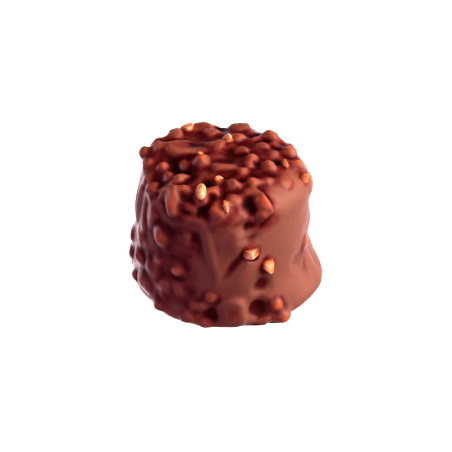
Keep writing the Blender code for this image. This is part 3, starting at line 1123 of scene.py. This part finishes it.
@dataclass(frozen=True)
class PaleFloor:
    """Plain matte white paper board, lit through from below."""

    colour: tuple = (0.3, 0.3, 0.3)
    lit_through: float = 0.75
    roughness: float = 0.9
    gloss: float = 0.1

    def material(self) -> bpy.types.Material:
        """Builds the material.

        Returns:
            The material.
        """
        return Nodes(bpy.data.materials.new("pale floor")).finish({
            "Base Color": self.colour,
            "Emission Color": (1, 1, 1),
            "Emission Strength": self.lit_through,
            "Roughness": self.roughness,
            "Specular IOR Level": self.gloss,
        })


@dataclass(frozen=True)
class Lamp:
    """One square lamp, which is turned to the praline."""

    name: str
    azimuth: float  # degrees round the praline
    elevation: float  # degrees above the horizon
    distance: float  # metres from the praline
    side: float  # metres along one side
    power: float  # watts
    colour: tuple  # colour of its light
    shows: Shows  # where it shows

    def hang(self, target: Vector) -> None:
        """Hangs the lamp.

        Args:
            target: the point that it is turned to.
        """
        turn, rise = math.radians(self.azimuth), math.radians(self.elevation)
        way = Vector((math.sin(turn) * math.cos(rise), -math.cos(turn) * math.cos(rise), math.sin(rise)))
        light = bpy.data.lights.new(self.name, "AREA")
        light.shape = "SQUARE"
        light.size = self.side
        light.energy = self.power
        light.color = self.colour
        holder = placed(self.name, light)
        holder.location = target + way * self.distance
        holder.rotation_euler = way.to_track_quat("Z", "Y").to_euler()
        holder.visible_diffuse, holder.visible_glossy = self.shows.value


@dataclass
class Studio:
    """The floor, the lights and the world."""

    floor_size: float = 6.0  # side of the floor, in metres
    floor_cuts: int = 3  # cuts across it
    world_front: float = 0.09  # strength of the light from the camera's side
    world_back: float = 1.9  # the same from the lit table behind
    table_way: tuple = (-0.1, 1.0, -1.0)  # which way that table lies
    table_range: tuple = (0.65, 1.3)  # between which shares of that way the light sets in
    world_colour: tuple = (1.0, 0.87, 0.94)  # colour of that light, a pinkish white
    lamps: tuple = (
        Lamp("key_light", 82, 24, 0.45, 0.38, 3.95, (0.93, 1.05, 0.98), Shows.MATTE),
        Lamp("key_sheen", 82, 24, 0.45, 0.38, 2.0, (1.0, 0.92, 0.86), Shows.GLOSS),
        Lamp("top_light", 100, 60, 0.5, 0.14, 0.35, (1.0, 0.92, 0.76), Shows.BOTH),
        Lamp("left_light", -112, 20, 0.5, 0.16, 0.3, (0.95, 0.88, 0.98), Shows.GLOSS),
        Lamp("table_sheen", -122, -12, 0.5, 0.3, 0.28, (1.0, 0.97, 0.97), Shows.GLOSS),
        Lamp("left_fill", -52, 2, 0.5, 0.4, 1.0, (0.97, 0.86, 1.4), Shows.MATTE),
        Lamp("front_fill", 2, 4, 0.5, 0.4, 0.55, (1.0, 0.56, 0.5), Shows.MATTE),
        Lamp("top_fill", 30, 75, 0.5, 0.5, 1.35, (1.0, 0.56, 0.38), Shows.MATTE),
    )

    def build(self, target: Vector) -> None:
        """Sets up the studio.

        Args:
            target: the point that the lamps are turned to.
        """
        self._floor()
        self._world()
        for lamp in self.lamps:
            lamp.hang(target)
        view = bpy.context.scene.view_settings
        view.view_transform = "Standard"
        view.look = "Very High Contrast"

    def _floor(self) -> None:
        """Lays the floor, which neither darkens nor tints what stands on it."""
        start_clean()
        bpy.ops.mesh.primitive_plane_add(size=self.floor_size)
        floor = bpy.context.object
        floor.name = "floor"
        edit_mode(floor, "FACE")
        bpy.ops.mesh.subdivide(number_cuts=self.floor_cuts)
        object_mode()
        floor.data.materials.append(PaleFloor().material())
        floor.visible_diffuse = False
        floor.visible_glossy = False
        floor.visible_shadow = False

    def _world(self) -> None:
        """Lights everything from all round, and most from the white table behind."""
        nodes = Nodes(bpy.data.worlds.new("white surround"), "Background")
        ways = {0: nodes.add("ShaderNodeTexCoord", "Generated"), 1: self.table_way}
        share = nodes.add("ShaderNodeVectorMath", "Value", ways, operation="DOT_PRODUCT")
        strength = nodes.spread(share, self.table_range, (self.world_front, self.world_back))
        bpy.context.scene.world = nodes.finish({"Color": self.world_colour, "Strength": strength})


@dataclass
class PhotoCamera:
    """The camera, at the angle of the photograph."""

    elevation: float = 35.0  # degrees above the horizon
    distance: float = 0.2  # metres from the middle of the drum
    middle: float = 14.5 * MM  # height of that middle, in metres
    frame_px: float = 452.0  # side of the photograph, in pixels
    focal_px: float = 930.0  # focal length, in its pixels
    middle_px: tuple = (223.0, 217.0)  # where the middle lies in it, across and down

    def build(self, drum: Drum) -> None:
        """Places the camera.

        Args:
            drum: what it looks at.
        """
        rise = math.radians(self.elevation)
        data = bpy.data.cameras.new("photo_camera")
        data.sensor_width = 36.0
        data.lens = self.focal_px / self.frame_px * data.sensor_width
        data.shift_x = (self.frame_px / 2 - self.middle_px[0]) / self.frame_px
        data.shift_y = -(self.frame_px / 2 - self.middle_px[1]) / self.frame_px
        data.clip_start = 0.001
        camera = placed("photo_camera", data)
        away = Vector((0, -math.cos(rise), math.sin(rise)))
        camera.location = drum.axis + Vector((0, 0, self.middle)) + away * self.distance
        camera.rotation_euler = (math.pi / 2 - rise, 0, 0)
        bpy.context.scene.camera = camera


def main() -> None:
    """Builds the praline, then the studio and the camera."""
    logging.basicConfig(level=logging.INFO, format="%(name)s: %(message)s")
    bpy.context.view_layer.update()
    drum = Drum()
    kit = ChunkKit(drum)
    nuts = NutScatter(drum).nuts()
    LOG.info("%d nuts, %d of them bare", len(nuts), sum(nut.dress is Dress.BARE for nut in nuts))
    coat_maker = Coat(kit, nuts, drum)
    coat = coat_maker.build()
    nut_maker = BareNuts(kit, nuts, coat)
    bare = nut_maker.build()
    coat_maker.dress()
    nut_maker.dress()
    for piece in (coat, bare):
        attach(piece, "root")
        LOG.info("%s: %d faces", piece.name, len(piece.data.polygons))
    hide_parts(NODE)
    Studio().build(drum.axis + Vector((0, 0, PhotoCamera.middle)))
    PhotoCamera().build(drum)


if __name__ == "__main__":
    main()
